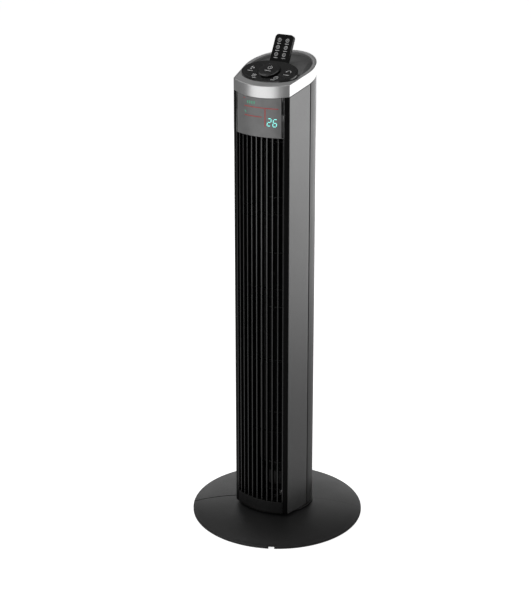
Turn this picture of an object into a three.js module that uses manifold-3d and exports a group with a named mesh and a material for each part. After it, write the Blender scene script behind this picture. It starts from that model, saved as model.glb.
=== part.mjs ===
// Tower fan: a slim oscillating column on a round two-piece base, with a cross-flow blower,
// a sloped top with a push-button panel, and a card remote standing in its holder.
// Millimetres, +Z up. The origin is on the floor under the swivel axis, and the air outlet
// faces -Y. Angles called "bearing" are measured from +X towards +Y.
import * as THREE from "three";
import { mergeVertices } from "three/addons/utils/BufferGeometryUtils.js";
import Module from "manifold-3d";

const wasm = await Module();
wasm.setup();

// ---------------------------------------------------------------- driving dimensions

const GAP = 0.3; // between pieces that meet
const WALL = 2.5; // moulded walls of the column

const COLUMN = {
  rearRadius: 71.5, // the back of the column is round
  rearCentreY: 2,
  cornerX: 62.3, // the two upright edges at the front
  cornerY: -60,
  frontBulge: 18, // how far the outlet face stands forward of the corners
  bottom: 28.7,
  seamY: 0, // the upright groove between side panel and rear housing
  grooveWidth: 2.4,
};
const CAP = {
  slope: THREE.MathUtils.degToRad(15.4),
  heightAtCorner: 915,
  bandHeight: 22.8,
  plateDrop: 8.4, // down to the underside of the plate inside the band
};
const FRONT = { panelTop: 54.5, grilleTop: 813, windowShare: 0.845, fins: 9, finDepth: 12, finWidth: 2 };
const PANEL = { slope: THREE.MathUtils.degToRad(25), centreY: -31, halfWidth: 60, halfDepth: 30 };
const POWER_RADIUS = 20.8;
const POWER_HEIGHT = 5; // above the panel
const SEGMENT_INNER = 23; // the four outer buttons lie between this radius and the oval rim
const BUTTON_GAP = 0.4;
const REMOTE = {
  width: 40,
  length: 86,
  thickness: 7,
  cornerRadius: 7,
  lean: THREE.MathUtils.degToRad(26.5),
  topY: 24.4,
  topZ: 989.9,
  keyRadius: 4.2,
  keyX: 8.7,
  firstKey: 11.8,
  keyPitch: 14.1,
  visible: 56, // the rest stands in the holder
};
const BASE = {
  radius: 174.4,
  turn: THREE.MathUtils.degToRad(28), // how far the base is turned under the column
  domeTop: 25.9,
  domeFall: 20.1,
  rimBottom: 1.2,
  skin: 2.6,
  wellRadius: 58.5,
  lugRadius: 82,
  notchWidth: 11.6, // a finger notch in the rim, front and rear
  notchDepth: 7,
  notchHeight: 5.4,
  openSeam: 2.4, // the halves stand apart on the left and meet closely on the right
  footRadius: 9,
  footHeight: 3,
  bossRadius: 6,
  footCircle: 152,
  lugBottom: 7.3,
  screwCircle: 70,
  screwHole: 2.2,
};
const HUB = {
  flangeRadius: 80, // under both halves of the base
  flangeBottom: 4,
  floorBottom: 7,
  floorTop: 10,
  stepRadius: 55,
  wallInside: 55.6,
  wallTop: 24.4,
  bore: 9.3, // the swivel tube turns in it
  trackHalfWidth: 7,
  trackTop: 14,
  slotHalfWidth: 3.4,
};
const GLIDE = { inner: 55.8, spigot: 58.3, outer: 74.2, bottom: 24.7, flangeBottom: 25.5, edge: 0.7 };
const TUBE = {
  bore: 5,
  radius: 8.5,
  flangeRadius: 19,
  flangeBottom: 3.6,
  flangeTop: 6.5,
  headRadius: 12.4,
};
const CRANK = { distance: 31, throw: 17.8, bearing: THREE.MathUtils.degToRad(172.9) };
const IMPELLER = { radius: 45.5, inner: 32, y: 12, bottom: 119, top: 797, blades: 16, rings: 2 };
const MOTOR = { radius: 36, bottom: 62, top: 104 };
const FAR = 400; // larger than anything a cutting block has to clear

// ---------------------------------------------------------------- shaping helpers

function solidOf(geometry) {
  const bare = geometry.clone();
  bare.deleteAttribute("normal");
  bare.deleteAttribute("uv");
  const merged = mergeVertices(bare, 1e-4);
  const corners = merged.index.array;
  const kept = [];
  for (let i = 0; i < corners.length; i += 3) {
    const [a, b, c] = [corners[i], corners[i + 1], corners[i + 2]];
    if (a !== b && b !== c && c !== a) kept.push(a, b, c);
  }
  return new wasm.Manifold(
    new wasm.Mesh({
      numProp: 3,
      vertProperties: merged.attributes.position.array,
      triVerts: new Uint32Array(kept),
    }),
  );
}

function geometryOf(solid) {
  const mesh = solid.getMesh();
  const geometry = new THREE.BufferGeometry();
  geometry.setAttribute("position", new THREE.BufferAttribute(mesh.vertProperties, 3));
  geometry.setIndex(new THREE.BufferAttribute(mesh.triVerts, 1));
  return geometry.toNonIndexed();
}

const join = (...pieces) => geometryOf(pieces.map(solidOf).reduce((a, b) => a.add(b)));
const cut = (piece, ...tools) =>
  geometryOf(tools.map(solidOf).reduce((a, b) => a.subtract(b), solidOf(piece)));
const common = (...pieces) => geometryOf(pieces.map(solidOf).reduce((a, b) => a.intersect(b)));

function block(x0, x1, y0, y1, z0, z1) {
  const box = new THREE.BoxGeometry(x1 - x0, y1 - y0, z1 - z0);
  return box.translate((x0 + x1) / 2, (y0 + y1) / 2, (z0 + z1) / 2);
}

function prism(shape, z0, z1, curveSegments = 8) {
  const options = { depth: z1 - z0, bevelEnabled: false, curveSegments };
  return new THREE.ExtrudeGeometry(shape, options).translate(0, 0, z0);
}

// A turned piece about Z from [radius, height] corners of its closed half section.
function turned(corners, segments = 32) {
  const profile = corners.map(([r, z]) => new THREE.Vector2(r, z));
  if (THREE.ShapeUtils.area(profile) < 0) profile.reverse();
  profile.push(profile[0].clone());
  return new THREE.LatheGeometry(profile, segments).rotateX(Math.PI / 2);
}

function disc(radius, z0, z1, x = 0, y = 0, segments = 24) {
  const cylinder = new THREE.CylinderGeometry(radius, radius, z1 - z0, segments);
  return cylinder.rotateX(Math.PI / 2).translate(x, y, (z0 + z1) / 2);
}

function ring(outer, inner, z0, z1, x = 0, y = 0, segments = 32) {
  const corners = [[outer, z0], [outer, z1], [inner, z1], [inner, z0]];
  return turned(corners, segments).translate(x, y, 0);
}

// Everything above the plane that passes through height z at y and rises to the rear.
function above(slope, y, z) {
  const cutter = block(-FAR, FAR, -FAR, FAR, 0, 2 * FAR);
  return cutter.rotateX(slope).translate(0, y, z);
}

function below(slope, y, z) {
  const cutter = block(-FAR, FAR, -FAR, FAR, -2 * FAR, 0);
  return cutter.rotateX(slope).translate(0, y, z);
}

// ---------------------------------------------------------------- column outline

const frontRadius =
  (COLUMN.cornerX ** 2 + COLUMN.frontBulge ** 2) / (2 * COLUMN.frontBulge);
const frontCentreY = COLUMN.cornerY - COLUMN.frontBulge + frontRadius;
const frontHalfAngle = Math.asin(COLUMN.cornerX / frontRadius);
const windowHalfAngle = FRONT.windowShare * frontHalfAngle;

// The column's plan, moved inwards by inset: round back, straight sides tangent to it that
// close in towards the front corners, and a bulged front.
function columnShape(inset = 0) {
  const rear = COLUMN.rearRadius - inset;
  const front = frontRadius - inset;
  const reach = Math.hypot(COLUMN.cornerX, COLUMN.cornerY - COLUMN.rearCentreY);
  const towardsCorner = Math.atan2(COLUMN.cornerY - COLUMN.rearCentreY, COLUMN.cornerX);
  const tangent = towardsCorner + Math.acos(COLUMN.rearRadius / reach);
  const start = new THREE.Vector2(
    rear * Math.cos(tangent),
    COLUMN.rearCentreY + rear * Math.sin(tangent),
  );
  const forward = new THREE.Vector2(Math.sin(tangent), -Math.cos(tangent));
  const fromFront = start.clone().sub(new THREE.Vector2(0, frontCentreY));
  const half = forward.dot(fromFront);
  const along = -half + Math.sqrt(half ** 2 - fromFront.lengthSq() + front ** 2);
  const corner = start.clone().addScaledVector(forward, along);
  const bearing = Math.atan2(corner.y - frontCentreY, corner.x);
  const shape = new THREE.Shape();
  shape.absarc(0, COLUMN.rearCentreY, rear, tangent, Math.PI - tangent, false);
  shape.absarc(0, frontCentreY, front, -Math.PI - bearing, bearing, false);
  shape.closePath();
  return shape;
}

const capHeight = (y) =>
  CAP.heightAtCorner + Math.tan(CAP.slope) * (y - COLUMN.cornerY);
const ABOVE_ALL = 1050; // uprights are made this tall, then cut to the cap's slope
const CAP_FLOOR = 860; // the top's pieces are made from here up, then cut to their slopes
const lowered = (drop) => capHeight(0) - drop; // the cap's plane over the origin, lowered
const bandBottom = lowered(CAP.bandHeight);

function columnShell(outer, inner, z0, z1) {
  return cut(
    prism(columnShape(outer), z0, z1),
    prism(columnShape(inner), z0 - 1, z1 + 1),
  );
}

// A strip of the bulged front: between two insets and two angles from straight ahead.
function frontStrip(outer, inner, fromAngle, toAngle, z0, z1) {
  const ahead = -Math.PI / 2;
  const shape = new THREE.Shape();
  shape.absarc(0, frontCentreY, frontRadius - outer, ahead + fromAngle, ahead + toAngle, false);
  shape.absarc(0, frontCentreY, frontRadius - inner, ahead + toAngle, ahead + fromAngle, true);
  shape.closePath();
  const halfSteps = Math.max(1, Math.round((toAngle - fromAngle) / 0.16));
  return prism(shape, z0, z1, halfSteps);
}

// ---------------------------------------------------------------- materials

const finish = (color, roughness, metalness = 0) =>
  new THREE.MeshStandardMaterial({ color, roughness, metalness });
const PAINTED_SIDE = finish(0x5c5d60, 0.42, 0.5);
const BLACK_PLASTIC = finish(0x0c0c0d, 0.45);
const GLOSS_BLACK = finish(0x070708, 0.12);
const GRAPHITE = finish(0x1d1d1f, 0.5);
const BASE_PLASTIC = finish(0x1b1b1d, 0.55);
const SILVER = finish(0xc9cacc, 0.28, 0.85);
const CAP_GREY = finish(0x77787b, 0.38, 0.4);
const STEEL = finish(0x9a9c9f, 0.35, 0.9);
const RUBBER = finish(0x111111, 0.85);
const BOARD = finish(0x14502c, 0.6);
const WHITE_NYLON = finish(0xd8d6cf, 0.5);

const fan = new THREE.Group();

function add(name, geometry, material, group = fan) {
  const mesh = new THREE.Mesh(geometry, material);
  mesh.name = name;
  group.add(mesh);
  return mesh;
}

// ---------------------------------------------------------------- base

const domeHeight = (r) => BASE.domeTop - BASE.domeFall * (r / BASE.radius) ** 3;
const base = new THREE.Group();
base.rotation.z = BASE.turn;
fan.add(base);

const footBearings = [215, 325, 35, 145].map(THREE.MathUtils.degToRad);
const screwBearings = [240, 300, 60, 120].map(THREE.MathUtils.degToRad);
const onCircle = (radius, bearing) => [radius * Math.cos(bearing), radius * Math.sin(bearing)];
const screwHoles = () =>
  screwBearings.map((bearing) => disc(BASE.screwHole, 0, 17, ...onCircle(BASE.screwCircle, bearing), 12));

// One half of the dome: skin, rim, a thick lug round the hub and the foot bosses.
function baseHalf(side) {
  const steps = 7;
  const inner = BASE.wellRadius + GAP;
  const top = [];
  const under = [];
  for (let i = 0; i <= steps; i++) {
    const r = inner + ((BASE.radius - inner) * i) / steps;
    top.push([r, domeHeight(r)]);
  }
  for (let i = steps - 1; i >= 0; i--) {
    const r = BASE.lugRadius + ((BASE.radius - BASE.skin - BASE.lugRadius) * i) / steps;
    under.push([r, domeHeight(r) - BASE.skin]);
  }
  const rimInside = BASE.radius - BASE.skin;
  const rim = [
    [BASE.radius, BASE.rimBottom],
    [rimInside, BASE.rimBottom],
    [rimInside, domeHeight(rimInside) - BASE.skin],
  ];
  const lug = [[BASE.lugRadius, BASE.lugBottom], [inner, BASE.lugBottom]];
  const whole = turned([...top, ...rim, ...under, ...lug], 48);
  const otherHalf = (x0, x1, seam) =>
    side < 0 ? block(x0, x1, -seam, FAR, -1, 60) : block(x0, x1, -FAR, seam, -1, 60);
  const away = join(otherHalf(-FAR, 0, BASE.openSeam / 2), otherHalf(0, FAR, GAP / 2));
  const width = BASE.notchWidth / 2;
  const [rimY, notchY] = [side * BASE.radius, side * (BASE.radius - BASE.notchDepth)];
  const notch = block(
    -width, width, Math.min(rimY, notchY), Math.max(rimY, notchY), -1, BASE.notchHeight,
  );
  const bosses = footBearings
    .filter((bearing) => Math.sign(Math.sin(bearing)) === side)
    .map((bearing) => {
      const [x, y] = onCircle(BASE.footCircle, bearing);
      return disc(BASE.bossRadius, BASE.footHeight + GAP, domeHeight(BASE.footCircle) - 1, x, y, 16);
    });
  const half = cut(join(whole, ...bosses), away, notch, ...screwHoles());
  return side < 0 ? half : join(half, seamLap());
}

// A tongue of the rear half that reaches under the front half along the open seam.
function seamLap() {
  const [from, to] = [BASE.lugRadius + 2, BASE.radius - 8];
  const reach = 4;
  const thickness = 1.4;
  const bandUnder = (topDrop, bottomDrop) => {
    const radii = [0, 1, 2, 3, 4].map((i) => from + ((to - from) * i) / 4);
    const upper = radii.map((r) => [r, domeHeight(r) - topDrop]);
    const lower = radii.map((r) => [r, domeHeight(r) - bottomDrop]).reverse();
    return turned([...upper, ...lower], 48);
  };
  const clear = BASE.skin + 2 * GAP;
  const edge = BASE.openSeam / 2;
  const tongue = common(bandUnder(clear, clear + thickness), block(-FAR, 0, -reach, reach, 0, 60));
  const bridge = common(
    bandUnder(BASE.skin - 1, clear + thickness),
    block(-FAR, 0, edge, reach, 0, 60),
  );
  return join(tongue, bridge);
}

// The hub: a cup that the column turns in, with a flange under both halves and a raised
// track whose radial slot takes the crank pin.
function baseHub() {
  const cup = turned(
    [
      [HUB.bore, HUB.floorBottom],
      [HUB.stepRadius, HUB.floorBottom],
      [HUB.stepRadius, HUB.flangeBottom],
      [HUB.flangeRadius, HUB.flangeBottom],
      [HUB.flangeRadius, HUB.floorBottom],
      [BASE.wellRadius, HUB.floorBottom],
      [BASE.wellRadius, HUB.wallTop],
      [HUB.wallInside, HUB.wallTop],
      [HUB.wallInside, HUB.floorTop],
      [HUB.bore, HUB.floorTop],
    ],
    36,
  );
  const [trackHalf, slotHalf] = [HUB.trackHalfWidth, HUB.slotHalfWidth];
  const reach = CRANK.distance + CRANK.throw + 3;
  const near = CRANK.distance - CRANK.throw - 2.5;
  const track = block(-trackHalf, trackHalf, near, reach, HUB.floorTop - 0.5, HUB.trackTop);
  const slot = block(-slotHalf, slotHalf, near + 2, reach - 1.2, HUB.floorTop, HUB.trackTop + 1);
  return cut(join(cup, track), slot, ...screwHoles());
}

// The ring that the column glides on: its flange covers the inner edge of both halves and
// stands out a little from under the column's round back.
function glideRing() {
  const top = COLUMN.bottom - GAP;
  const section = [
    [GLIDE.inner, GLIDE.bottom],
    [GLIDE.spigot, GLIDE.bottom],
    [GLIDE.spigot, GLIDE.flangeBottom],
    [GLIDE.outer, GLIDE.flangeBottom],
    [GLIDE.outer, top - GLIDE.edge],
    [GLIDE.outer - GLIDE.edge, top],
    [GLIDE.inner, top],
  ];
  return turned(section, 48);
}

add("base_front_half", baseHalf(-1), BASE_PLASTIC, base);
add("base_rear_half", baseHalf(1), BASE_PLASTIC, base);
add("base_hub", baseHub(), GRAPHITE, base);
add("glide_ring", glideRing(), GRAPHITE, base);
footBearings.forEach((bearing, i) => {
  const [x, y] = onCircle(BASE.footCircle, bearing);
  add(`foot_${i + 1}`, disc(BASE.footRadius, 0, BASE.footHeight, x, y, 20), RUBBER, base);
});
screwBearings.forEach((bearing, i) => {
  const [x, y] = onCircle(BASE.screwCircle, bearing);
  const headTop = HUB.flangeBottom - GAP;
  const head = disc(3.8, headTop - 2, headTop, x, y, 12);
  const screw = join(head, disc(1.8, headTop - 0.7, HUB.trackTop, x, y, 8));
  add(`base_screw_${i + 1}`, screw, STEEL, base);
});

// ---------------------------------------------------------------- column structure

const chassisTop = COLUMN.bottom + 3.2;
const chassisInset = 6.2;
const crankY = CRANK.distance;
const crankShaftHole = 3.6;

function bottomChassis() {
  const plate = prism(columnShape(chassisInset), COLUMN.bottom, chassisTop);
  const tubeHole = disc(TUBE.radius + GAP, 0, 60);
  const shaftHole = disc(crankShaftHole, 0, 60, 0, crankY, 16);
  return cut(plate, tubeHole, shaftHole);
}

function swivelTube() {
  return turned([
    [TUBE.bore, TUBE.flangeBottom],
    [TUBE.flangeRadius, TUBE.flangeBottom],
    [TUBE.flangeRadius, TUBE.flangeTop],
    [TUBE.radius, TUBE.flangeTop],
    [TUBE.radius, chassisTop + GAP],
    [TUBE.headRadius, chassisTop + GAP],
    [TUBE.headRadius, chassisTop + 3],
    [TUBE.bore, chassisTop + 3],
  ]);
}

const jambDepth = 5.6;

function frontFrame() {
  const jambInner = windowHalfAngle + 0.004;
  const jambOuter = frontHalfAngle - 0.008;
  const jambs = [-1, 1].map((side) => {
    const from = Math.min(side * jambInner, side * jambOuter);
    const to = Math.max(side * jambInner, side * jambOuter);
    return frontStrip(0, jambDepth, from, to, COLUMN.bottom, ABOVE_ALL);
  });
  const railHalf = jambInner + 0.01;
  const rail = (z, height) => frontStrip(2.9, jambDepth, -railHalf, railHalf, z, z + height);
  const rails = [
    rail(COLUMN.bottom + 1, 5),
    rail(FRONT.grilleTop + 1, 4),
    rail(FRONT.grilleTop + 67, 5),
  ];
  return cut(join(...jambs, ...rails), above(CAP.slope, 0, bandBottom - GAP));
}

const lowerPanel = () =>
  frontStrip(0, WALL, -windowHalfAngle, windowHalfAngle, COLUMN.bottom + 0.2, FRONT.panelTop - GAP);

// The outlet grille: fins that fan out from the front's centre of curvature, held by two
// end rails and thin cross ribs behind their front edges.
function frontGrille() {
  const [z0, z1] = [FRONT.panelTop, FRONT.grilleTop - GAP];
  const half = windowHalfAngle;
  const pitch = (2 * half) / (FRONT.fins + 1);
  const finHalf = FRONT.finWidth / 2 / frontRadius;
  const fins = [];
  for (let i = 1; i <= FRONT.fins; i++) {
    const angle = -half + pitch * i;
    fins.push(frontStrip(0, FRONT.finDepth, angle - finHalf, angle + finHalf, z0, z1));
  }
  const posts = [-1, 1].map((side) => {
    const edges = [side * half, side * (half - 2 * finHalf)].sort((a, b) => a - b);
    return frontStrip(0.2, FRONT.finDepth, edges[0], edges[1], z0, z1);
  });
  const ribCount = 4;
  const rib = (z, height) => frontStrip(6.2, FRONT.finDepth, -half, half, z, z + height);
  const endRail = 2.5;
  const ribs = [rib(z0, endRail), rib(z1 - endRail, endRail)];
  for (let i = 1; i <= ribCount; i++) {
    ribs.push(rib(z0 + ((z1 - z0) * i) / (ribCount + 1), 2));
  }
  return join(...fins, ...posts, ...ribs);
}

function displayLens() {
  const strip = frontStrip(0, 2.2, -windowHalfAngle, windowHalfAngle, FRONT.grilleTop, ABOVE_ALL);
  return cut(strip, above(CAP.slope, 0, bandBottom - GAP));
}

function displayBoard() {
  const board = block(-40, 40, -67.6, -66, 824, 880);
  const digits = block(12, 34, -69.4, -67.4, 830, 850);
  const connector = block(-6, 6, -66.2, -61, 828, 834);
  return join(board, digits, connector);
}

function sidePanel(side) {
  const shell = columnShell(0, WALL, COLUMN.bottom, ABOVE_ALL);
  const rearEdge = COLUMN.seamY - COLUMN.grooveWidth / 2;
  const [x0, x1] = side > 0 ? [20, FAR] : [-FAR, -20];
  const keep = block(x0, x1, -FAR, rearEdge, 0, ABOVE_ALL);
  const edge = frontHalfAngle - 0.004;
  const front = frontStrip(-5, 6, -edge, edge, 0, ABOVE_ALL + 10);
  return cut(common(shell, keep), front, above(CAP.slope, 0, bandBottom - GAP));
}

// Rear housing: the round back with its intake slots, and a tongue behind each side panel
// that shows as the recessed groove.
function rearHousing() {
  const frontEdge = COLUMN.seamY + COLUMN.grooveWidth / 2;
  const low = COLUMN.bottom + 4;
  const tongueInset = 5;
  const clip = (y0, y1) => block(-FAR, FAR, y0, y1, 0, ABOVE_ALL);
  const skin = common(columnShell(0, WALL, COLUMN.bottom, ABOVE_ALL), clip(frontEdge, FAR));
  const tongue = common(
    columnShell(WALL + GAP, tongueInset, low, ABOVE_ALL),
    clip(-9, frontEdge + 3),
  );
  const bridge = common(
    columnShell(1.5, tongueInset, low, ABOVE_ALL),
    clip(frontEdge, frontEdge + 3),
  );
  const slots = [];
  const slotHalf = { width: 18, height: 5 };
  const [first, last, rows] = [130, 800, 15];
  for (const bearing of [52, 90, 128]) {
    for (let row = 0; row <= rows; row++) {
      const slot = block(50, 90, -slotHalf.width, slotHalf.width, -slotHalf.height, slotHalf.height);
      slot.rotateZ(THREE.MathUtils.degToRad(bearing));
      slots.push(slot.translate(0, COLUMN.rearCentreY, first + ((last - first) * row) / rows));
    }
  }
  const inside = prism(columnShape(0.2), 0, ABOVE_ALL);
  const bosses = housingScrewPlaces.map(([x, z, seat]) =>
    common(alongY(6, seat - 6, seat + 8, x, z, 14), inside),
  );
  const pockets = housingScrewPlaces.flatMap(([x, z, seat]) => [
    alongY(4.4, seat, seat + 20, x, z, 12),
    alongY(1.9, seat - 20, seat + 20, x, z, 8),
  ]);
  const body = join(skin, tongue, bridge, ...bosses);
  const cable = alongY(6.2, 50, 90, 0, glandHeight, 16);
  return cut(body, ...slots, ...pockets, cable, above(CAP.slope, 0, bandBottom - GAP));
}

// A cylinder whose axis runs along Y.
function alongY(radius, y0, y1, x, z, segments = 20) {
  const cylinder = new THREE.CylinderGeometry(radius, radius, y1 - y0, segments);
  return cylinder.translate(x, (y0 + y1) / 2, z);
}

const HOUSING_SCREW = { headRadius: 3.9, headHeight: 2.4, shankRadius: 1.5, length: 9 };
const housingScrewPlaces = [-1, 1].flatMap((side) =>
  [44, 872].map((z) => {
    const x = side * 48;
    const surface = COLUMN.rearCentreY + Math.sqrt(COLUMN.rearRadius ** 2 - x ** 2);
    return [x, z, surface - 6];
  }),
);
const glandHeight = 50;

add("bottom_chassis", bottomChassis(), GRAPHITE);
add("swivel_tube", swivelTube(), STEEL);
add("front_frame", frontFrame(), BLACK_PLASTIC);
add("lower_panel", lowerPanel(), GRAPHITE);
add("front_grille", frontGrille(), BLACK_PLASTIC);
add("display_lens", displayLens(), GLOSS_BLACK);
add("display_board", displayBoard(), BOARD);
add("side_panel_left", sidePanel(-1), PAINTED_SIDE);
add("side_panel_right", sidePanel(1), PAINTED_SIDE);
add("rear_housing", rearHousing(), BLACK_PLASTIC);
housingScrewPlaces.forEach(([x, z, seat], i) => {
  const screw = join(
    alongY(HOUSING_SCREW.headRadius, seat + GAP, seat + HOUSING_SCREW.headHeight, x, z, 12),
    alongY(HOUSING_SCREW.shankRadius, seat - HOUSING_SCREW.length, seat + 1, x, z, 8),
  );
  add(`housing_screw_${i + 1}`, screw, STEEL);
});

function cableGland() {
  const sleeve = alongY(5.9, 65.6, 76, 0, glandHeight);
  const collar = alongY(8, 66.6, 69.4, 0, glandHeight);
  const bore = alongY(3.6, 60, 80, 0, glandHeight, 16);
  return cut(join(sleeve, collar), bore);
}
add("cable_gland", cableGland(), RUBBER);

// ---------------------------------------------------------------- top of the column

// Where a point of the panel's own plane lies: u to the right, v up the slope, w outwards.
const panelCentreZ = capHeight(PANEL.centreY - PANEL.halfDepth) + 0.5 +
  Math.tan(PANEL.slope) * PANEL.halfDepth;
const onPanel = (geometry) =>
  geometry.rotateX(PANEL.slope).translate(0, PANEL.centreY, panelCentreZ);

function oval(halfWidth, halfDepth) {
  const shape = new THREE.Shape();
  shape.absellipse(0, 0, halfWidth, halfDepth, 0, 2 * Math.PI, false, 0);
  return shape;
}
const panelDepth = PANEL.halfDepth / Math.cos(PANEL.slope); // half depth along the slope

function silverTrim() {
  const shell = columnShell(0, WALL, CAP_FLOOR, ABOVE_ALL);
  return cut(shell, above(CAP.slope, 0, lowered(0)), below(CAP.slope, 0, bandBottom));
}

// The remote's own frame: u across, v up its length from its top edge, w out of its face.
const onRemote = (geometry) =>
  geometry
    .rotateX(Math.PI / 2 - REMOTE.lean)
    .translate(0, REMOTE.topY, REMOTE.topZ);

function remotePocket(grow, from, to) {
  const half = REMOTE.width / 2 + grow;
  return onRemote(block(-half, half, -to, -from, -REMOTE.thickness - grow, grow));
}

const pocketRoom = 2.6; // round the remote, for the holder's walls

function topCap() {
  const inset = WALL + GAP;
  const rimWidth = 5;
  const trayDrop = 5.4;
  const plate = cut(
    prism(columnShape(inset), CAP_FLOOR, ABOVE_ALL),
    above(CAP.slope, 0, lowered(0.4)),
    below(CAP.slope, 0, lowered(CAP.plateDrop)),
  );
  const tray = common(
    cut(
      prism(columnShape(inset + rimWidth), CAP_FLOOR, ABOVE_ALL),
      below(CAP.slope, 0, lowered(trayDrop)),
    ),
    block(-FAR, FAR, PANEL.centreY, FAR, 0, ABOVE_ALL + FAR),
  );
  const panelOval = oval(PANEL.halfWidth + GAP, PANEL.halfDepth + GAP);
  const panelHole = prism(panelOval, CAP_FLOOR, ABOVE_ALL, 14);
  const pocket = remotePocket(pocketRoom, 30, REMOTE.length + 4);
  return cut(plate, tray, panelHole.translate(0, PANEL.centreY, 0), pocket);
}

const segmentSpans = {
  left: [150, 200],
  front_left: [200, 270],
  front_right: [270, 340],
  right: [340, 390],
};

// A wedge between two bearings about the panel's centre, drawn in by d on both sides.
function wedge(fromDegrees, toDegrees, d, w0, w1) {
  const from = THREE.MathUtils.degToRad(fromDegrees);
  const to = THREE.MathUtils.degToRad(toDegrees);
  const middle = (from + to) / 2;
  const apex = d / Math.sin((to - from) / 2);
  const shape = new THREE.Shape();
  shape.moveTo(apex * Math.cos(middle), apex * Math.sin(middle));
  for (const bearing of [from, middle, to]) {
    shape.lineTo(90 * Math.cos(bearing), 90 * Math.sin(bearing));
  }
  shape.closePath();
  return prism(shape, w0, w1);
}

function segment([from, to], inset, w0, w1) {
  const rim = 3;
  const band = prism(oval(PANEL.halfWidth - rim - inset, panelDepth - rim - inset), w0, w1, 12);
  const ribHalf = 0.6;
  const slice = common(band, wedge(from, to, ribHalf + inset, w0 - 1, w1 + 1));
  return cut(slice, disc(SEGMENT_INNER + inset, w0 - 1, w1 + 1, 0, 0, 32));
}

function controlPanel() {
  const upright = (inset) =>
    prism(oval(PANEL.halfWidth - inset, PANEL.halfDepth - inset), CAP_FLOOR, ABOVE_ALL, 12)
      .translate(0, PANEL.centreY, 0);
  const skirt = 2.4;
  const lid = 3;
  const lidDrop = lid / Math.cos(PANEL.slope);
  const under = cut(upright(skirt), above(PANEL.slope, PANEL.centreY, panelCentreZ - lidDrop));
  const windows = Object.values(segmentSpans).map((span) => onPanel(segment(span, 0, -20, 20)));
  return cut(
    upright(0),
    under,
    above(PANEL.slope, PANEL.centreY, panelCentreZ),
    below(CAP.slope, 0, lowered(CAP.plateDrop)),
    onPanel(disc(POWER_RADIUS + BUTTON_GAP, -20, 20, 0, 0, 32)),
    ...windows,
    remotePocket(pocketRoom, 50, REMOTE.length + 4),
  );
}

const buttonBottom = -3.8; // in the panel's own frame
const switchTravel = 1.6; // room between a button and its switch

function controlBoard() {
  const boardTop = -10;
  const board = common(
    prism(oval(50, 24), boardTop - 1.6, boardTop),
    block(-60, 60, -40, 12, -20, 0),
  );
  const pushSwitch = ([u, v]) => disc(2.4, boardTop - 0.5, buttonBottom - switchTravel, u, v, 12);
  const places = [[0, -2], [-38, 2], [38, 2], [-17, -21.5], [17, -21.5]];
  return onPanel(join(board, ...places.map(pushSwitch)));
}

function powerButton() {
  const crown = turned(
    [
      [0, buttonBottom],
      [POWER_RADIUS, buttonBottom],
      [POWER_RADIUS, POWER_HEIGHT - 2],
      [POWER_RADIUS - 1.6, POWER_HEIGHT - 1],
      [POWER_RADIUS * 0.55, POWER_HEIGHT - 0.3],
      [0, POWER_HEIGHT],
    ],
    32,
  );
  return onPanel(crown);
}

add("silver_trim", silverTrim(), SILVER);
add("top_cap", topCap(), CAP_GREY);
add("control_panel", controlPanel(), GLOSS_BLACK);
add("control_board", controlBoard(), BOARD);
add("power_button", powerButton(), GLOSS_BLACK);
for (const [place, span] of Object.entries(segmentSpans)) {
  add(`button_${place}`, onPanel(segment(span, BUTTON_GAP, buttonBottom, 0.5)), GLOSS_BLACK);
}

// ---------------------------------------------------------------- remote and its holder

function remoteHolder() {
  const outer = remotePocket(pocketRoom - 0.4, REMOTE.visible + 8, REMOTE.length + 2.2);
  const inner = remotePocket(0.5, REMOTE.visible - 20, REMOTE.length + 0.5);
  return cut(outer, inner);
}

function roundedCard(radius) {
  const [w, h] = [REMOTE.width / 2, REMOTE.length];
  const shape = new THREE.Shape();
  shape.moveTo(w, -radius);
  shape.absarc(w - radius, -radius, radius, 0, Math.PI / 2, false);
  shape.absarc(-w + radius, -radius, radius, Math.PI / 2, Math.PI, false);
  shape.absarc(-w + radius, -h + radius, radius, Math.PI, 1.5 * Math.PI, false);
  shape.absarc(w - radius, -h + radius, radius, 1.5 * Math.PI, 2 * Math.PI, false);
  shape.closePath();
  return shape;
}

const keyPlaces = [0, 1, 2].flatMap((row) =>
  [-1, 1].map((side) => [side * REMOTE.keyX, -(REMOTE.firstKey + row * REMOTE.keyPitch)]),
);

const shellSplit = -3.3; // where the remote's two halves meet, under its face

function remoteFront() {
  const face = prism(roundedCard(REMOTE.cornerRadius), shellSplit, 0, 3);
  const room = block(-17, 17, -REMOTE.length + 4, -4, -4, -1.4);
  const holes = keyPlaces.map(([u, v]) => disc(REMOTE.keyRadius + 0.5, -5, 5, u, v, 14));
  return onRemote(cut(face, room, ...holes));
}

const drawer = { halfWidth: 13, length: 26, from: -6, to: -4.2 };

function remoteBack() {
  const shell = prism(roundedCard(REMOTE.cornerRadius), -REMOTE.thickness, shellSplit - GAP, 3);
  const slot = block(
    -drawer.halfWidth - GAP,
    drawer.halfWidth + GAP,
    -REMOTE.length - 1,
    -REMOTE.length + drawer.length + GAP,
    drawer.from - GAP,
    0,
  );
  return onRemote(cut(shell, slot));
}

function batteryDrawer() {
  const end = -REMOTE.length + drawer.length;
  const { halfWidth, from, to } = drawer;
  const body = block(-halfWidth, halfWidth, -REMOTE.length, end, from, to);
  const cellRecess = disc(10.4, from + 0.8, 0, 0, end - 12.5, 24);
  return onRemote(cut(body, cellRecess));
}

function remoteKey([u, v]) {
  const flangeTop = -1.6;
  const cap = disc(REMOTE.keyRadius, flangeTop, 0.7, u, v, 14);
  const flange = disc(REMOTE.keyRadius + 1, flangeTop - 0.8, flangeTop, u, v, 14);
  return onRemote(join(cap, flange));
}

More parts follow.
